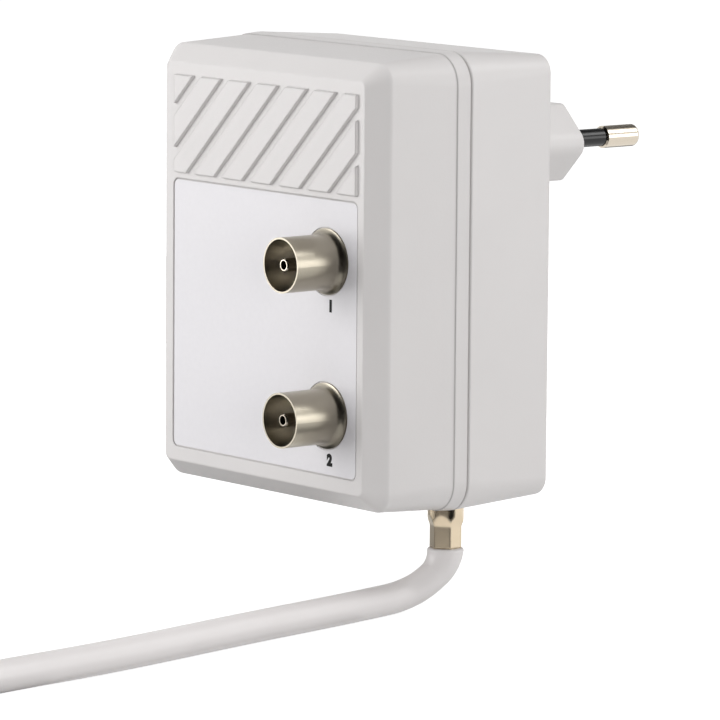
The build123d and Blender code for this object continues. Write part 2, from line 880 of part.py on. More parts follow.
def lead_dielectric():
    hole = conductor_diameter / 2 + pin_clearance
    outer = dielectric_diameter / 2
    top = dielectric_top_z
    return turned([(hole, ferrule_end_z), (outer, ferrule_end_z), (outer, top), (hole, top)], entry_place(0))


def lead_conductor():
    top = dielectric_top_z + conductor_rise
    radius = conductor_diameter / 2
    return turned([(0, ferrule_end_z), (radius, ferrule_end_z), (radius, top), (0, top)], entry_place(0))


# Lead on the standing surface
def level_way(heading):
    """Level direction, turned from -Y towards +X."""
    turn = math.radians(heading)
    return Vector(math.sin(turn), -math.cos(turn), 0)


jacket_way = level_way(jacket_heading)
jacket_turn = math.radians(jacket_bend)
jacket_out = jacket_bend_radius * (1 - math.cos(jacket_turn))
jacket_down = jacket_bend_radius * math.sin(jacket_turn)
jacket_top = Vector(entry_x, entry_y, ferrule_end_z)
jacket_end = jacket_top + jacket_way * jacket_out - Vector(0, 0, jacket_down)
jacket_end_way = jacket_way * math.sin(jacket_turn) - Vector(0, 0, math.cos(jacket_turn))
jacket_side = jacket_way.rotate(Axis.Z, -90)
coil_way = level_way(coil_heading)
coil_side = coil_way.rotate(Axis.Z, -90)
coil_start = Vector(coil_start_x, coil_start_y, coil_z)

cord_route = [
    jacket_end,
    jacket_end + jacket_end_way * cord_first_run,
    Vector(20.4, -43.6, cord_z),
    Vector(22.2, -51.6, cord_z),
    Vector(24.6, -63.4, cord_z),
    Vector(28.0, -83.2, cord_z),
    Vector(35.0, -116.0, cord_z),
    coil_start - coil_way * coil_level_run,
    coil_start,
]


def jacket_end_piece():
    """Swollen end of the jacket, bent as it leaves the ferrule and narrowing to the lead."""
    path = TangentArc(jacket_top, jacket_end, tangent=(0, 0, -1))
    wide = Plane(origin=jacket_top, x_dir=jacket_side, z_dir=(0, 0, -1)) * Circle(jacket_diameter / 2)
    narrow = Plane(origin=jacket_end, x_dir=jacket_side, z_dir=jacket_end_way) * Circle(cord_diameter / 2)
    piece = sweep([wide, narrow], path=path, multisection=True)
    return fillet(piece.edges().group_by(Axis.Z)[-1], jacket_edge)


def cord_run():
    """Free stretch from the jacket's end to the coil: straight runs joined by tangent arcs."""
    radii = []
    for before, corner, after in zip(cord_route, cord_route[1:], cord_route[2:]):
        turn = (corner - before).get_angle(after - corner)
        shorter = min((corner - before).length, (after - corner).length)
        radii.append(cord_bend_share * shorter / math.tan(math.radians(turn / 2)))
    print("cord bend radii", [round(radius, 1) for radius in radii])
    path = FilletPolyline(*cord_route, radius=radii)
    tube = sweep(Plane(origin=jacket_end, z_dir=jacket_end_way) * Circle(cord_diameter / 2), path=path)
    expected = math.pi * (cord_diameter / 2) ** 2 * path.length
    print("cord run length", round(path.length, 1), "volume share", round(tube.volume / expected, 4))
    return tube


def biarc(start, start_way, end, end_way):
    """Two tangent arcs from one point and direction to another."""
    across = end - start
    both = start_way + end_way
    spread = 2 * (1 - start_way.dot(end_way))
    if spread < snap:
        reach = across.dot(across) / (2 * across.dot(both))
    else:
        lean = across.dot(both)
        reach = (math.sqrt(lean ** 2 + spread * across.dot(across)) - lean) / spread
    before = start + start_way * reach
    after = end - end_way * reach
    joint = (before + after) / 2
    return [
        TangentArc(start, joint, tangent=start_way),
        TangentArc(joint, end, tangent=(after - before).normalized()),
    ]


def coil_points():
    """Ends of the half turns: a spiral in, a climb to the second layer and a spiral out."""
    centre = coil_start + coil_way * cord_diameter + coil_side * coil_outer_radius
    steps = list(range(coil_half_turns + 1))
    radii = [coil_outer_radius - step * coil_pitch / 2 for step in steps]
    radii[-1] -= coil_climb_inset
    heights = [0 for step in steps] + [coil_layer_step for step in steps]
    points = []
    for number, (radius, height) in enumerate(zip(radii + radii[::-1], heights)):
        sign = -1 if number % 2 == 0 else 1
        points.append((centre + coil_side * (sign * radius) + Vector(0, 0, height), coil_way * -sign))
    return points


coil_ends = coil_points()
tail_way = coil_ends[-1][1]
tail_end = coil_ends[-1][0] + tail_way * tail_length + coil_side * tail_shift
tail_end = Vector(tail_end.X, tail_end.Y, coupling_z)
coupling_start = tail_end + tail_way * cord_diameter


def cord_coil():
    """The put-away length as one unbroken tube, with its tail down to the coupling."""
    pieces = [Line(coil_start, coil_ends[0][0])]
    stops = coil_ends + [(tail_end, tail_way)]
    for (start, start_way), (end, end_way) in zip(stops, stops[1:]):
        pieces += biarc(start, start_way, end, end_way)
    pieces.append(Line(tail_end, coupling_start))
    path = Wire(pieces)
    tube = sweep(Plane(origin=coil_start, z_dir=coil_way) * Circle(cord_diameter / 2), path=path)
    expected = math.pi * (cord_diameter / 2) ** 2 * path.length
    print("coil length", round(path.length, 1), "volume share", round(tube.volume / expected, 4))
    count = round(path.length / (cord_diameter / 4))
    points = [path.position_at(number / count) for number in range(count + 1)]
    apart = round(3 * cord_diameter / (path.length / count))
    least = min(
        (points[first] - points[second]).length
        for first in range(0, count + 1 - apart)
        for second in range(first + apart, count + 1)
    )
    print("least gap of the coil to itself", round(least - cord_diameter, 2))
    return tube


def cord_tie():
    """Flat band round the whole bundle of turns."""
    first, second = coil_ends[0][0], coil_ends[1][0]
    last, inner = coil_ends[coil_half_turns - 1][0], coil_ends[coil_half_turns][0]
    outer_reach = (first - second).length / 2 + cord_diameter / 2 + tie_gap
    inner_reach = (last - inner).length / 2 - cord_diameter / 2 - tie_gap
    centre = coil_start + coil_way * cord_diameter + coil_side * coil_outer_radius
    middle = centre + coil_way * ((outer_reach + inner_reach) / 2) + Vector(0, 0, coil_layer_step / 2)
    plane = Plane(origin=middle, x_dir=coil_way, z_dir=coil_side)
    width = outer_reach - inner_reach
    height = coil_layer_step + cord_diameter + 2 * tie_gap
    outline = RectangleRounded(width + 2 * tie_thickness, height + 2 * tie_thickness, tie_corner)
    outline -= RectangleRounded(width, height, tie_corner - tie_thickness)
    return extrude(plane * outline, tie_width / 2, both=True)


# Coupling
coupling_place = Plane(origin=coupling_start, x_dir=(0, 0, 1), z_dir=tail_way).location
body_top = coupling_neck_length + coupling_length


def coupling_body():
    """Moulded body with a tapered neck and a grooved grip."""
    neck = coupling_neck_diameter / 2
    outer = coupling_diameter / 2
    body = turned([
        (0, 0),
        (neck, 0),
        (neck + coupling_edge, coupling_neck_length),
        (outer - coupling_edge, coupling_neck_length),
        (outer, coupling_neck_length + coupling_edge),
        (outer, body_top - coupling_edge),
        (outer - coupling_edge, body_top),
        (0, body_top),
    ])
    first = coupling_neck_length + (coupling_length - (coupling_grips - 1) * coupling_grip_pitch) / 2
    for number in range(coupling_grips):
        low = first + number * coupling_grip_pitch - coupling_grip_width / 2
        high = low + coupling_grip_width
        body -= turned([
            (outer - coupling_grip_depth, low),
            (outer + cut_overrun, low),
            (outer + cut_overrun, high),
            (outer - coupling_grip_depth, high),
        ])
    socket = barrel_diameter / 2 + pin_clearance
    body -= turned([(0, body_top - barrel_root), (socket, body_top - barrel_root),
                    (socket, body_top + cut_overrun), (0, body_top + cut_overrun)])
    return coupling_place * body


def coupling_barrel():
    outer = barrel_diameter / 2
    inner = barrel_bore / 2
    low = body_top - barrel_root
    top = body_top + barrel_reach
    return turned([
        (inner, low),
        (outer, low),
        (outer, top - barrel_edge),
        (outer - barrel_edge, top),
        (inner, top),
    ], coupling_place)


def coupling_insulator():
    hole = socket_contact_diameter / 2 + contact_clearance
    outer = barrel_bore / 2 - insulator_clearance
    low = body_top - barrel_root
    top = low + socket_insulator_length
    return turned([(hole, low), (outer, low), (outer, top), (hole, top)], coupling_place)


def coupling_contact():
    outer = socket_contact_diameter / 2
    bore = socket_contact_bore / 2
    low = body_top - barrel_root
    top = body_top + socket_contact_reach
    return turned([
        (0, low),
        (outer, low),
        (outer, top),
        (bore, top),
        (bore, top - socket_contact_bore_depth),
        (0, top - socket_contact_bore_depth),
    ], coupling_place)


nodes = {
    "front_shell": front_shell(),
    "rear_shell": rear_shell(),
    "label_plate": label_plate(),
    "case_screws": case_screws(),
    "mains_pin_left": mains_pin(-1),
    "mains_pin_right": mains_pin(1),
    "pin_sleeve_left": pin_sleeve(-1),
    "pin_sleeve_right": pin_sleeve(1),
    "mains_wires": mains_wires(),
    "outlet_1_shell": outlet_shell(outlet_heights[0]),
    "outlet_1_insulator": outlet_insulator(outlet_heights[0]),
    "outlet_1_contact": outlet_contact(outlet_heights[0]),
    "outlet_2_shell": outlet_shell(outlet_heights[1]),
    "outlet_2_insulator": outlet_insulator(outlet_heights[1]),
    "outlet_2_contact": outlet_contact(outlet_heights[1]),
    "shield_can": shield_can(),
    "shield_lid": shield_lid(),
    "radio_board": radio_board(),
    "transistors": transistors(),
    "splitter_core": splitter_core(),
    "circuit_board": circuit_board(),
    "transformer_core": transformer_core(),
    "transformer_bobbin": transformer_bobbin(),
    "primary_winding": winding(coil_low_y + bobbin_wall, split_y),
    "secondary_winding": winding(split_y + bobbin_wall, coil_high_y - bobbin_wall),
    "capacitors": capacitors(),
    "rectifier_diodes": rectifier_diodes(),
    "voltage_regulator": voltage_regulator(),
    "crimp_ferrule": crimp_ferrule(),
    "cable_spigot": cable_spigot(),
    "lead_dielectric": lead_dielectric(),
    "lead_conductor": lead_conductor(),
    "jacket_end": jacket_end_piece(),
    "cord_run": cord_run(),
    "cord_coil": cord_coil(),
    "cord_tie": cord_tie(),
    "coupling_body": coupling_body(),
    "coupling_barrel": coupling_barrel(),
    "coupling_insulator": coupling_insulator(),
    "coupling_contact": coupling_contact(),
}

os.makedirs("parts", exist_ok=True)
for name, shape in nodes.items():
    solids = shape if isinstance(shape, list) else [shape]
    export_step(Compound(children=list(solids)) if len(solids) > 1 else solids[0], f"parts/{name}.step")
    print(name, len(solids))
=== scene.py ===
import math

import bpy
from mathutils import Matrix, Vector


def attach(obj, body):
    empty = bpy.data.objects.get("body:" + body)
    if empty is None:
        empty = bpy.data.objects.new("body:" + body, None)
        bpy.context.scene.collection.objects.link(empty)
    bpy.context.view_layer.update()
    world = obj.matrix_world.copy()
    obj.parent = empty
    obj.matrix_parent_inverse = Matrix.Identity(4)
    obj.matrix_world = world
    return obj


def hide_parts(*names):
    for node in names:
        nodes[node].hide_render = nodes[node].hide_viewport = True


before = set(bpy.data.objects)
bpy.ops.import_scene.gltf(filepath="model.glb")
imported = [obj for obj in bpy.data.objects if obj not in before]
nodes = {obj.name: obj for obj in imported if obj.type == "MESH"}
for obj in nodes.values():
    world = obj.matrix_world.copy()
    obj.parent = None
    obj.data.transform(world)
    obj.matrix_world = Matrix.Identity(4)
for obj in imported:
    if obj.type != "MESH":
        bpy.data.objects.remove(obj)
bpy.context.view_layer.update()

mm = 0.001

# Places from the CAD model, in millimetres
recess_floor_y = -57.7
label_thickness = 0.2
outlet_heights = (-16.9, -43.4)
floor_z = -78.6
cord_diameter = 5.4
cord_z = -75.9
coil_z = -74.95
coupling_z = -72.4


def link(piece):
    bpy.context.scene.collection.objects.link(piece)
    return piece


# Camera at the photograph's place, fitted to points measured in it
camera_angles = (50.892, 7.699, 0.449)
camera_place = Vector((751.84, -647.35, 93.55))
camera_lens = 278.79
camera_sensor = 36


def make_camera():
    yaw, pitch, roll = (math.radians(angle) for angle in camera_angles)
    ahead = Vector((-math.sin(yaw), math.cos(yaw), 0))
    forward = ahead * math.cos(pitch) - Vector((0, 0, math.sin(pitch)))
    level = Vector((math.cos(yaw), math.sin(yaw), 0))
    up = level.cross(forward)
    right = level * math.cos(roll) + up * math.sin(roll)
    up = right.cross(forward)
    data = bpy.data.cameras.new("camera")
    data.sensor_fit = "HORIZONTAL"
    data.sensor_width = camera_sensor
    data.lens = camera_lens
    data.clip_start = 0.05
    data.clip_end = 50
    camera = link(bpy.data.objects.new("camera", data))
    turn = Matrix((right, up, -forward)).transposed().to_4x4()
    camera.matrix_world = Matrix.Translation(camera_place * mm) @ turn
    bpy.context.scene.camera = camera


make_camera()

# Lead: one spline from the bent jacket end to the coupling
points_per_turn = 14
half_turn_radii = (36.5, 33.55, 30.6, 27.65, 24.7, 20.75, 20.75, 24.7, 27.65, 30.6, 33.55, 36.5)
layer_step = 5.9
climb_half_turn = 5             # the half turn in which the lead rises to the second layer
coil_approach = 20
tail_start = 7
tail_length = 22
tail_shift = 3
coil_heading = math.radians(11.8)
coil_way = Vector((math.sin(coil_heading), -math.cos(coil_heading), 0))
coil_side = Vector((coil_way.y, -coil_way.x, 0))
coil_start = Vector((46.3, -166.5, coil_z))
coil_centre = coil_start + coil_way * cord_diameter + coil_side * half_turn_radii[0]

lead_route = [
    Vector((21.754, -36.946, -72.396)),
    Vector((21.34, -38.894, -74.067)),
    Vector((20.4, -43.6, cord_z)),
    Vector((22.2, -51.6, cord_z)),
    Vector((24.6, -63.4, cord_z)),
    Vector((28.0, -83.2, cord_z)),
    Vector((35.0, -116.0, cord_z)),
    coil_start - coil_way * coil_approach,
    coil_start,
]


def coil_turns():
    """Points of a spiral that winds in, climbs a layer in one half turn and winds out again."""
    step = 2 * math.pi / points_per_turn
    count = round((len(half_turn_radii) - 1) * math.pi / step)
    points = []
    for number in range(count):
        angle = (number + 0.5) * step
        half_turn, share = divmod(angle / math.pi, 1)
        half_turn = int(half_turn)
        radius = half_turn_radii[half_turn] * (1 - share) + half_turn_radii[half_turn + 1] * share
        radius /= math.cos(step / 2)
        if half_turn < climb_half_turn:
            height = 0
        elif half_turn > climb_half_turn:
            height = layer_step
        else:
            height = layer_step * share * share * (3 - 2 * share)
        around = coil_way * math.sin(angle) - coil_side * math.cos(angle)
        points.append(coil_centre + around * radius + Vector((0, 0, height)))
    return points


def tail_points():
    """Way from the last turn down to the coupling."""
    start = coil_centre + coil_side * half_turn_radii[-1] + Vector((0, 0, layer_step))
    end = start - coil_way * tail_length + coil_side * tail_shift
    end.z = coupling_z
    lead_in = coil_way * tail_start
    return [start - lead_in, end + lead_in, end - coil_way * cord_diameter]


def make_lead():
    curve = bpy.data.curves.new("lead", "CURVE")
    curve.dimensions = "3D"
    curve.bevel_depth = 1.0
    curve.bevel_resolution = 10
    curve.resolution_u = 8
    spline = curve.splines.new("NURBS")
    points = lead_route + coil_turns() + tail_points()
    spline.points.add(len(points) - 1)
    for control, place in zip(spline.points, points):
        control.co = (*(place * mm), 1)
        control.radius = cord_diameter / 2 * mm
    spline.order_u = 3
    spline.use_endpoint_u = True
    spline.use_smooth = True
    lead = link(bpy.data.objects.new("lead", curve))
    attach(lead, "root")
    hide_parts("cord_run", "cord_coil")
    return lead


lead = make_lead()


# Materials
noise_span = {"From Min": 0.25, "From Max": 0.75}   # where nearly all of a noise's values lie
wave_period = 2 * math.pi / 20                      # of a wave texture at scale 1, in metres


def colour(code):
    """sRGB hex code as a linear colour."""
    shares = [int(code[place:place + 2], 16) / 255 for place in (1, 3, 5)]
    linear = [share / 12.92 if share <= 0.04045 else ((share + 0.055) / 1.055) ** 2.4
              for share in shares]
    return linear + [1]


def add(tree, kind, inputs=(), **settings):
    """Adds a node to the tree. Each input is a value, or the output of another node."""
    node = tree.nodes.new(kind)
    for name, value in settings.items():
        setattr(node, name, value)
    for name, value in dict(inputs).items():
        if isinstance(value, bpy.types.NodeSocket):
            tree.links.new(value, node.inputs[name])
        else:
            node.inputs[name].default_value = value
    return node


def new_material(name):
    material = bpy.data.materials.new(name)
    material.use_nodes = True
    tree = material.node_tree
    tree.nodes.clear()
    place = add(tree, "ShaderNodeTexCoord").outputs["Object"]
    return material, tree, place


def finish_material(tree, shader):
    add(tree, "ShaderNodeOutputMaterial", {"Surface": shader.outputs[0]})


def moulded_abs():
    """ABS from an eroded mould: an even light grey, soft at its edges, dulled by a fine grain."""
    material, tree, place = new_material("moulded_abs")
    cloud = add(tree, "ShaderNodeTexNoise", {"Vector": place, "Scale": 1 / (14 * mm), "Detail": 2})
    grain = add(tree, "ShaderNodeTexNoise", {
        "Vector": place, "Scale": 1 / (0.42 * mm), "Detail": 3})
    tone = add(tree, "ShaderNodeMix", {
        0: cloud.outputs["Fac"], 6: colour("#D2CFCE"), 7: colour("#D7D4D3")}, data_type="RGBA")
    gloss = add(tree, "ShaderNodeMapRange", {
        "Value": grain.outputs["Fac"], **noise_span, "To Min": 0.36, "To Max": 0.46})
    edge = add(tree, "ShaderNodeBevel", {"Radius": 0.4 * mm})
    bump = add(tree, "ShaderNodeBump", {
        "Height": grain.outputs["Fac"], "Strength": 0.22, "Distance": 0.05 * mm,
        "Normal": edge.outputs[0]})
    finish_material(tree, add(tree, "ShaderNodeBsdfPrincipled", {
        "Base Color": tone.outputs[2], "Roughness": gloss.outputs[0], "IOR": 1.53,
        "Normal": bump.outputs[0]}))
    return material


def polyester_film():
    """White polyester film on a bed of glue: flatter and glossier than the case, faintly wavy."""
    material, tree, place = new_material("polyester_film")
    wave = add(tree, "ShaderNodeTexNoise", {"Vector": place, "Scale": 1 / (6 * mm), "Detail": 2})
    fleck = add(tree, "ShaderNodeTexNoise", {"Vector": place, "Scale": 1 / (0.8 * mm), "Detail": 4})
    tone = add(tree, "ShaderNodeMix", {
        0: fleck.outputs["Fac"], 6: colour("#DBD9DC"), 7: colour("#E0DEE1")}, data_type="RGBA")
    gloss = add(tree, "ShaderNodeMapRange", {
        "Value": fleck.outputs["Fac"], **noise_span, "To Min": 0.34, "To Max": 0.42})
    bump = add(tree, "ShaderNodeBump", {
        "Height": wave.outputs["Fac"], "Strength": 0.12, "Distance": 0.06 * mm})
    finish_material(tree, add(tree, "ShaderNodeBsdfPrincipled", {
        "Base Color": tone.outputs[2], "Roughness": gloss.outputs[0], "IOR": 1.5,
        "Normal": bump.outputs[0]}))
    return material


def drawn_nickel():
    """Nickel over drawn brass: warm and satin from its drawing lines; painted light deep in
    hollows.
    """
    material, tree, place = new_material("drawn_nickel")
    along = add(tree, "ShaderNodeMapping", {"Vector": place, "Scale": (1, 0.06, 1)})
    line = add(tree, "ShaderNodeTexNoise", {
        "Vector": along.outputs[0], "Scale": 1 / (0.12 * mm), "Detail": 2})
    cloud = add(tree, "ShaderNodeTexNoise", {"Vector": place, "Scale": 1 / (3 * mm), "Detail": 2})
    outer_tone = add(tree, "ShaderNodeMix", {
        0: cloud.outputs["Fac"], 6: colour("#ABA495"), 7: colour("#B1AA9B")}, data_type="RGBA")
    # Painted light: deep in hollows the colour turns pale, standing in for light bounced there
    depth = add(tree, "ShaderNodeAmbientOcclusion", {"Distance": 9 * mm}, only_local=True)
    painted_inner_light = add(tree, "ShaderNodeMapRange", {
        "Value": depth.outputs["AO"], "From Min": 0.3, "From Max": 0.7, "To Min": 1, "To Max": 0})
    tone = add(tree, "ShaderNodeMix", {
        0: painted_inner_light.outputs[0], 6: outer_tone.outputs[2], 7: colour("#E6E2DA")}, data_type="RGBA")
    gloss = add(tree, "ShaderNodeMapRange", {
        "Value": line.outputs["Fac"], **noise_span, "To Min": 0.3, "To Max": 0.34})
    bump = add(tree, "ShaderNodeBump", {
        "Height": line.outputs["Fac"], "Strength": 0.03, "Distance": 0.004 * mm})
    finish_material(tree, add(tree, "ShaderNodeBsdfPrincipled", {
        "Base Color": tone.outputs[2], "Metallic": 1.0, "Roughness": gloss.outputs[0],
        "Normal": bump.outputs[0]}))
    return material


def bright_nickel():
    """Bright nickel over turned brass: almost a mirror, so it shows dark and light stripes."""
    material, tree, place = new_material("bright_nickel")
    around = add(tree, "ShaderNodeMapping", {"Vector": place, "Scale": (0.3, 1, 0.3)})
    line = add(tree, "ShaderNodeTexNoise", {
        "Vector": around.outputs[0], "Scale": 1 / (0.16 * mm), "Detail": 2})
    tone = add(tree, "ShaderNodeMix", {
        0: line.outputs["Fac"], 6: colour("#C6BCAC"), 7: colour("#CEC4B5")}, data_type="RGBA")
    gloss = add(tree, "ShaderNodeMapRange", {
        "Value": line.outputs["Fac"], **noise_span, "To Min": 0.1, "To Max": 0.16})
    bump = add(tree, "ShaderNodeBump", {
        "Height": line.outputs["Fac"], "Strength": 0.04, "Distance": 0.006 * mm})
    finish_material(tree, add(tree, "ShaderNodeBsdfPrincipled", {
        "Base Color": tone.outputs[2], "Metallic": 1.0, "Roughness": gloss.outputs[0],
        "Normal": bump.outputs[0]}))
    return material


def crimped_nickel():
    """Nickel over soft brass pressed in a hexagonal die: rubbed flats with soft, darker edges."""
    material, tree, place = new_material("crimped_nickel")
    down = add(tree, "ShaderNodeMapping", {"Vector": place, "Scale": (1, 1, 0.12)})
    rub = add(tree, "ShaderNodeTexNoise", {
        "Vector": down.outputs[0], "Scale": 1 / (0.18 * mm), "Detail": 3})
    cloud = add(tree, "ShaderNodeTexNoise", {"Vector": place, "Scale": 1 / (1.6 * mm), "Detail": 2})
    tone = add(tree, "ShaderNodeMix", {
        0: cloud.outputs["Fac"], 6: colour("#CCBCA3"), 7: colour("#D3C3AA")}, data_type="RGBA")
    gloss = add(tree, "ShaderNodeMapRange", {
        "Value": rub.outputs["Fac"], **noise_span, "To Min": 0.16, "To Max": 0.22})
    edge = add(tree, "ShaderNodeBevel", {"Radius": 0.6 * mm})
    bump = add(tree, "ShaderNodeBump", {
        "Height": rub.outputs["Fac"], "Strength": 0.05, "Distance": 0.008 * mm,
        "Normal": edge.outputs[0]})
    finish_material(tree, add(tree, "ShaderNodeBsdfPrincipled", {
        "Base Color": tone.outputs[2], "Metallic": 1.0, "Roughness": gloss.outputs[0],
        "Normal": bump.outputs[0]}))
    return material


def extruded_pvc():
    """Plasticised PVC from the extruder: smooth, slightly waxy white with a broad soft sheen."""
    material, tree, place = new_material("extruded_pvc")
    cloud = add(tree, "ShaderNodeTexNoise", {"Vector": place, "Scale": 1 / (9 * mm), "Detail": 2})
    skin = add(tree, "ShaderNodeTexNoise", {"Vector": place, "Scale": 1 / (0.7 * mm), "Detail": 3})
    tone = add(tree, "ShaderNodeMix", {
        0: cloud.outputs["Fac"], 6: colour("#DDD9D8"), 7: colour("#E2DEDD")}, data_type="RGBA")
    gloss = add(tree, "ShaderNodeMapRange", {
        "Value": skin.outputs["Fac"], **noise_span, "To Min": 0.34, "To Max": 0.42})
    bump = add(tree, "ShaderNodeBump", {
        "Height": skin.outputs["Fac"], "Strength": 0.1, "Distance": 0.04 * mm})
    finish_material(tree, add(tree, "ShaderNodeBsdfPrincipled", {
        "Base Color": tone.outputs[2], "Roughness": gloss.outputs[0], "IOR": 1.54,
        "Normal": bump.outputs[0]}))
    return material


def black_polyamide():
    """Black polyamide tube: glossy and near black, so each lamp shows on it as one fine streak."""
    material, tree, place = new_material("black_polyamide")
    skin = add(tree, "ShaderNodeTexNoise", {"Vector": place, "Scale": 1 / (0.5 * mm), "Detail": 2})
    tone = add(tree, "ShaderNodeMix", {
        0: skin.outputs["Fac"], 6: colour("#09090A"), 7: colour("#101011")}, data_type="RGBA")
    gloss = add(tree, "ShaderNodeMapRange", {
        "Value": skin.outputs["Fac"], **noise_span, "To Min": 0.1, "To Max": 0.14})
    bump = add(tree, "ShaderNodeBump", {
        "Height": skin.outputs["Fac"], "Strength": 0.05, "Distance": 0.02 * mm})
    finish_material(tree, add(tree, "ShaderNodeBsdfPrincipled", {
        "Base Color": tone.outputs[2], "Roughness": gloss.outputs[0], "IOR": 1.42,
        "Normal": bump.outputs[0]}))
    return material


def plastic_stock(name, dull, bright, roughness):
    """Moulded or cast plastic, or ink: its tone and gloss change a little every millimetre."""
    material, tree, place = new_material(name)
    skin = add(tree, "ShaderNodeTexNoise", {"Vector": place, "Scale": 1 / (1.2 * mm), "Detail": 3})
    tone = add(tree, "ShaderNodeMix", {
        0: skin.outputs["Fac"], 6: colour(dull), 7: colour(bright)}, data_type="RGBA")
    gloss = add(tree, "ShaderNodeMapRange", {
        "Value": skin.outputs["Fac"], **noise_span,
        "To Min": roughness - 0.04, "To Max": roughness + 0.04})
    bump = add(tree, "ShaderNodeBump", {
        "Height": skin.outputs["Fac"], "Strength": 0.1, "Distance": 0.03 * mm})
    finish_material(tree, add(tree, "ShaderNodeBsdfPrincipled", {
        "Base Color": tone.outputs[2], "Roughness": gloss.outputs[0], "Normal": bump.outputs[0]}))
    return material


def metal_stock(name, dull, bright, roughness):
    """Rolled sheet or drawn wire: a fine patchy sheen from handling and from its plating."""
    material, tree, place = new_material(name)
    skin = add(tree, "ShaderNodeTexNoise", {"Vector": place, "Scale": 1 / (1.5 * mm), "Detail": 4})
    tone = add(tree, "ShaderNodeMix", {
        0: skin.outputs["Fac"], 6: colour(dull), 7: colour(bright)}, data_type="RGBA")
    gloss = add(tree, "ShaderNodeMapRange", {
        "Value": skin.outputs["Fac"], **noise_span,
        "To Min": roughness - 0.06, "To Max": roughness + 0.06})
    bump = add(tree, "ShaderNodeBump", {
        "Height": skin.outputs["Fac"], "Strength": 0.08, "Distance": 0.02 * mm})
    finish_material(tree, add(tree, "ShaderNodeBsdfPrincipled", {
        "Base Color": tone.outputs[2], "Metallic": 1.0, "Roughness": gloss.outputs[0],
        "Normal": bump.outputs[0]}))
    return material


def stacked_laminations():
    """Varnished silicon steel sheets, half a millimetre each: their edges show as fine lines."""
    material, tree, place = new_material("stacked_laminations")
    sheet = add(tree, "ShaderNodeTexWave", {"Vector": place, "Scale": wave_period / (0.5 * mm)},
                bands_direction="Z")
    tone = add(tree, "ShaderNodeMix", {
        0: sheet.outputs["Fac"], 6: colour("#4A4744"), 7: colour("#6B6762")}, data_type="RGBA")
    gloss = add(tree, "ShaderNodeMapRange", {
        "Value": sheet.outputs["Fac"], "To Min": 0.4, "To Max": 0.5})
    bump = add(tree, "ShaderNodeBump", {
        "Height": sheet.outputs["Fac"], "Strength": 0.3, "Distance": 0.05 * mm})
    finish_material(tree, add(tree, "ShaderNodeBsdfPrincipled", {
        "Base Color": tone.outputs[2], "Metallic": 1.0, "Roughness": gloss.outputs[0],
        "Normal": bump.outputs[0]}))
    return material


def wound_copper():
    """Enamelled copper wire, 0.2 mm thick, laid side by side: a ribbed brown-orange sheen."""
    material, tree, place = new_material("wound_copper")
    turn = add(tree, "ShaderNodeTexWave", {"Vector": place, "Scale": wave_period / (0.2 * mm)},
               bands_direction="Y")
    tone = add(tree, "ShaderNodeMix", {
        0: turn.outputs["Fac"], 6: colour("#8A4A22"), 7: colour("#B8703C")}, data_type="RGBA")
    gloss = add(tree, "ShaderNodeMapRange", {
        "Value": turn.outputs["Fac"], "To Min": 0.3, "To Max": 0.4})
    bump = add(tree, "ShaderNodeBump", {
        "Height": turn.outputs["Fac"], "Strength": 0.4, "Distance": 0.05 * mm})
    finish_material(tree, add(tree, "ShaderNodeBsdfPrincipled", {
        "Base Color": tone.outputs[2], "Metallic": 1.0, "Roughness": gloss.outputs[0],
        "Normal": bump.outputs[0]}))
    return material


white_pvc = extruded_pvc()
finishes = {
    moulded_abs(): ("front_shell", "rear_shell"),
    polyester_film(): ("label_plate",),
    drawn_nickel(): ("outlet_1_shell", "outlet_2_shell", "coupling_barrel"),
    bright_nickel(): ("mains_pin_left", "mains_pin_right", "outlet_1_contact", "outlet_2_contact",
                      "coupling_contact"),
    crimped_nickel(): ("crimp_ferrule", "cable_spigot"),
    white_pvc: ("jacket_end", "coupling_body", "cord_tie", "cord_run", "cord_coil"),
    black_polyamide(): ("pin_sleeve_left", "pin_sleeve_right"),
    plastic_stock("phenolic_board", "#8F6F3E", "#9A7A48", 0.45): ("radio_board", "circuit_board"),
    plastic_stock("moulded_insulator", "#D4D0C9", "#DCD8D1", 0.5): (
        "outlet_1_insulator", "outlet_2_insulator"),
    plastic_stock("natural_polyethylene", "#DAD7CE", "#E0DDD4", 0.4): (
        "coupling_insulator", "lead_dielectric"),
    plastic_stock("moulded_epoxy", "#1A1A1B", "#222223", 0.5): (
        "transistors", "rectifier_diodes", "voltage_regulator"),
    plastic_stock("sintered_ferrite", "#2B2B2E", "#36363A", 0.55): ("splitter_core",),
    plastic_stock("grey_polyamide", "#313234", "#3A3B3D", 0.45): ("transformer_bobbin",),
    plastic_stock("capacitor_film", "#1E2636", "#252E40", 0.3): ("capacitors",),
    metal_stock("zinc_plated_steel", "#A8A8A4", "#B8B8B4", 0.32): ("case_screws",),
    metal_stock("tinplate", "#BDBDB8", "#C9C9C5", 0.32): ("shield_can", "shield_lid"),
    metal_stock("bare_copper", "#B06A3E", "#C07A4C", 0.33): ("mains_wires", "lead_conductor"),
    stacked_laminations(): ("transformer_core",),
    wound_copper(): ("primary_winding", "secondary_winding"),
}
for material, names in finishes.items():
    for name in names:
        nodes[name].data.materials.clear()
        nodes[name].data.materials.append(material)
lead.data.materials.append(white_pvc)


# Numbers printed under the outlets
printing_ink = plastic_stock("printing_ink", "#060606", "#0A0A0A", 0.8)
number_x = 18.7
number_drop = 8.4               # from an outlet's middle to the foot of its number
number_size = 2.6
number_boldness = 0.2           # added to each side of a stroke
ink_thickness = 0.01


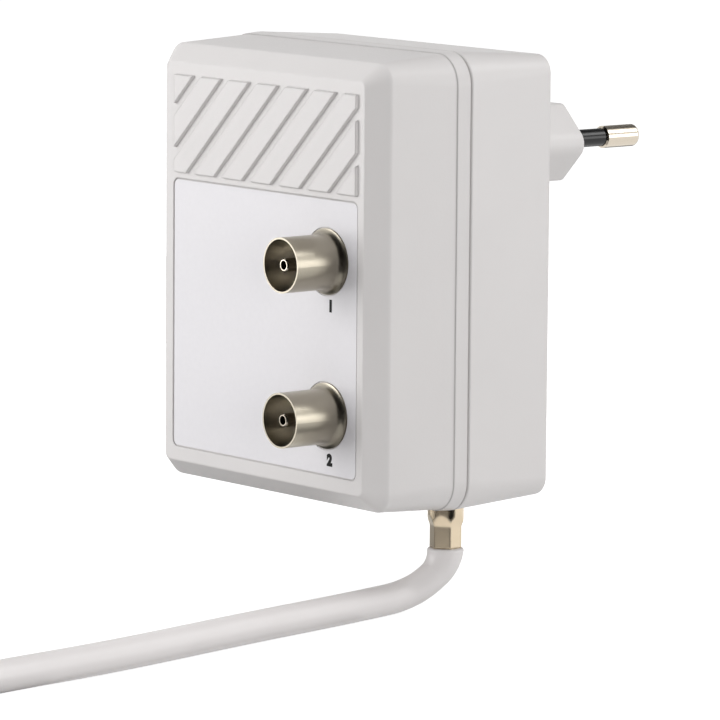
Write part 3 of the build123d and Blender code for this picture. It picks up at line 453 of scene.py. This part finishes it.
def make_number(text, outlet_z):
    data = bpy.data.curves.new(f"number_{text}", "FONT")
    data.body = text
    data.size = number_size * mm
    data.align_x = "CENTER"
    data.extrude = ink_thickness * mm
    data.offset = number_boldness * mm
    data.materials.append(printing_ink)
    number = link(bpy.data.objects.new(f"number_{text}", data))
    ink_y = recess_floor_y - label_thickness - ink_thickness
    place = Vector((number_x, ink_y, outlet_z - number_drop))
    number.matrix_world = (Matrix.Translation(place * mm)
                           @ Matrix.Rotation(math.radians(90), 4, "X"))
    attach(number, "root")


for text, outlet_z in zip("12", outlet_heights):
    make_number(text, outlet_z)


# Floor, background and lamps
def seamless_paper():
    """Pale backdrop paper: camera and metal see it near white, and it keeps soft shadows."""
    material, tree, place = new_material("seamless_paper")
    fibre = add(tree, "ShaderNodeTexNoise", {"Vector": place, "Scale": 1 / (2.5 * mm), "Detail": 3})
    tone = add(tree, "ShaderNodeMix", {
        0: fibre.outputs["Fac"], 6: colour("#D0D0D0"), 7: colour("#D4D4D4")}, data_type="RGBA")
    plain = add(tree, "ShaderNodeBsdfDiffuse", {"Color": tone.outputs[2]})
    faint = add(tree, "ShaderNodeBsdfDiffuse", {"Color": (0.36, 0.36, 0.36, 1)})
    glow = add(tree, "ShaderNodeEmission", {"Color": (1, 1, 1, 1), "Strength": 0.9})
    shown = add(tree, "ShaderNodeAddShader", {0: faint.outputs[0], 1: glow.outputs[0]})
    rays = add(tree, "ShaderNodeLightPath")
    direct = add(tree, "ShaderNodeMath", {
        0: rays.outputs["Is Camera Ray"], 1: rays.outputs["Is Glossy Ray"]}, operation="MAXIMUM")
    seen = add(tree, "ShaderNodeMath", {
        0: direct.outputs[0], 1: rays.outputs["Is Transmission Ray"]}, operation="MAXIMUM")
    finish_material(tree, add(tree, "ShaderNodeMixShader", {
        0: seen.outputs[0], 1: plain.outputs[0], 2: shown.outputs[0]}))
    return material


def stage_cloth(name, dull, bright):
    """Matt cloth around the set, so that the metal has something darker to reflect."""
    material, tree, place = new_material(name)
    weave = add(tree, "ShaderNodeTexNoise", {"Vector": place, "Scale": 1 / (1.5 * mm), "Detail": 2})
    tone = add(tree, "ShaderNodeMix", {
        0: weave.outputs["Fac"], 6: colour(dull), 7: colour(bright)}, data_type="RGBA")
    finish_material(tree, add(tree, "ShaderNodeBsdfDiffuse", {"Color": tone.outputs[2]}))
    return material


def make_sheet(name, material, corners):
    """Flat stage sheet through four corners, in metres."""
    mesh = bpy.data.meshes.new(name)
    mesh.from_pydata(corners, [], [(0, 1, 2, 3)])
    mesh.materials.append(material)
    sheet = link(bpy.data.objects.new(name, mesh))
    return sheet


def bearing_way(bearing):
    """Level direction at a bearing in degrees, counted from +X towards +Y."""
    return Vector((math.cos(math.radians(bearing)), math.sin(math.radians(bearing))))


def standing_cloth(reach, start, end, low, high):
    """Corners of an upright cloth around the origin, between two bearings and two heights."""
    ends = [bearing_way(bearing) * reach for bearing in (start, end)]
    return [(*ends[0], low), (*ends[1], low), (*ends[1], high), (*ends[0], high)]


def lying_cloth(near, far, start, end):
    """Corners of a cloth on the table around the ferrule, between two reaches and two bearings."""
    ways = [bearing_way(bearing) for bearing in (start, end)]
    places = [ferrule_place + ways[0] * near, ferrule_place + ways[0] * far,
              ferrule_place + ways[1] * far, ferrule_place + ways[1] * near]
    return [(*place, floor_z * mm + cloth_thickness) for place in places]


# Cloths that only the metal's reflections see, in metres and degrees
ferrule_place = Vector((0.0217, -0.0369))
cloth_thickness = 0.001
cloth_top = 1.3
black_cloth = stage_cloth("black_cloth", "#1C1C1C", "#242424")
grey_cloth = stage_cloth("grey_cloth", "#A4A4A4", "#ACACAC")
pale_cloth = stage_cloth("pale_cloth", "#C8C8C8", "#D0D0D0")
cloths = {
    "cloth_back_left": (grey_cloth, standing_cloth(1.2, 85, 150, 0.3, 1.5)),
    "cloth_ceiling": (black_cloth, [(-0.8, -1.3, cloth_top), (1.1, -1.3, cloth_top),
                                    (1.1, 0.05, cloth_top), (-0.8, 0.05, cloth_top)]),
}
front_bearings = (16, -22, -56, -90, -124)
for number, (start, end) in enumerate(zip(front_bearings, front_bearings[1:])):
    corners = standing_cloth(1.1, start, end, -0.07, cloth_top)
    cloths[f"cloth_front_{number}"] = (black_cloth, corners)
# Sheets on the table that only reflections see. The near ones around the ferrule are painted shade:
# the housing's shade on the floor as the metal reflects it, since the glowing floor shows none
# there. The far black ones paint a dark floor into the reflections.
floor_reflection_sheets = (                # material, near and far reach, start and end bearing
    (black_cloth, 0.03, 1.0, 20, -20),
    (black_cloth, 0.1, 1.0, -20, -50),
    (black_cloth, 0.1, 1.0, -50, -85),
    (black_cloth, 0.08, 1.0, -85, -115),
    (pale_cloth, 0.02, 0.1, -20, -50),
    (pale_cloth, 0.02, 0.1, -50, -85),
    (grey_cloth, 0.02, 0.08, -85, -115),
    (black_cloth, 0.03, 0.09, -115, -155),
    (grey_cloth, 0.03, 0.15, -155, -195),
    (grey_cloth, 0.15, 1.2, 110, 145),
)
for number, (cloth, *span) in enumerate(floor_reflection_sheets):
    cloths[f"cloth_table_{number}"] = (cloth, lying_cloth(*span))
floor_half_width = 4.0


def make_stage():
    half = floor_half_width
    low = floor_z * mm
    corners = [(-half, -half, low), (half, -half, low), (half, half, low), (-half, half, low)]
    make_sheet("floor", seamless_paper(), corners)
    for name, (cloth, corners) in cloths.items():
        sheet = make_sheet(name, cloth, corners)
        sheet.visible_camera = False
        sheet.visible_diffuse = False
        sheet.visible_shadow = False


def make_world():
    """White room: the camera and the metal see it full white, and its soft light is weaker."""
    world = bpy.data.worlds.new("studio")
    bpy.context.scene.world = world
    world.use_nodes = True
    tree = world.node_tree
    tree.nodes.clear()
    rays = add(tree, "ShaderNodeLightPath")
    direct = add(tree, "ShaderNodeMath", {
        0: rays.outputs["Is Camera Ray"], 1: rays.outputs["Is Glossy Ray"]}, operation="MAXIMUM")
    seen = add(tree, "ShaderNodeMath", {
        0: direct.outputs[0], 1: rays.outputs["Is Transmission Ray"]}, operation="MAXIMUM")
    soft = add(tree, "ShaderNodeBackground", {"Color": (1, 1, 1, 1), "Strength": 0.38})
    white = add(tree, "ShaderNodeBackground", {"Color": (1, 1, 1, 1), "Strength": 1.0})
    mix = add(tree, "ShaderNodeMixShader", {
        0: seen.outputs[0], 1: soft.outputs[0], 2: white.outputs[0]})
    add(tree, "ShaderNodeOutputWorld", {"Surface": mix.outputs[0]})


housing_middle = Vector((0, -0.04, -0.02))


def make_lamp(name, place, size, power):
    """Softbox aimed at the middle of the housing, in metres and watts."""
    data = bpy.data.lights.new(name, "AREA")
    data.shape = "RECTANGLE"
    data.size, data.size_y = size
    data.energy = power
    lamp = link(bpy.data.objects.new(name, data))
    turn = (housing_middle - Vector(place)).to_track_quat("-Z", "Y")
    lamp.matrix_world = Matrix.Translation(place) @ turn.to_matrix().to_4x4()
    lamp.visible_camera = False
    return lamp


make_stage()
make_world()
make_lamp("left_softbox", (-0.24, -0.42, 0.08), (0.3, 0.4), 1.42)
make_lamp("right_softbox", (0.85, -0.3, 0.03), (0.5, 0.4), 2.7).visible_glossy = False
make_lamp("back_softbox", (0.76, 0.65, 0.08), (0.7, 0.4), 2.0)
make_lamp("strip_softbox", (0.4, 0.62, 0.55), (0.5, 0.26), 1.3)
make_lamp("top_softbox", (0.0, 0.0, 1.0), (1.0, 1.0), 4.2).visible_glossy = False
bpy.context.scene.view_settings.view_transform = "Standard"
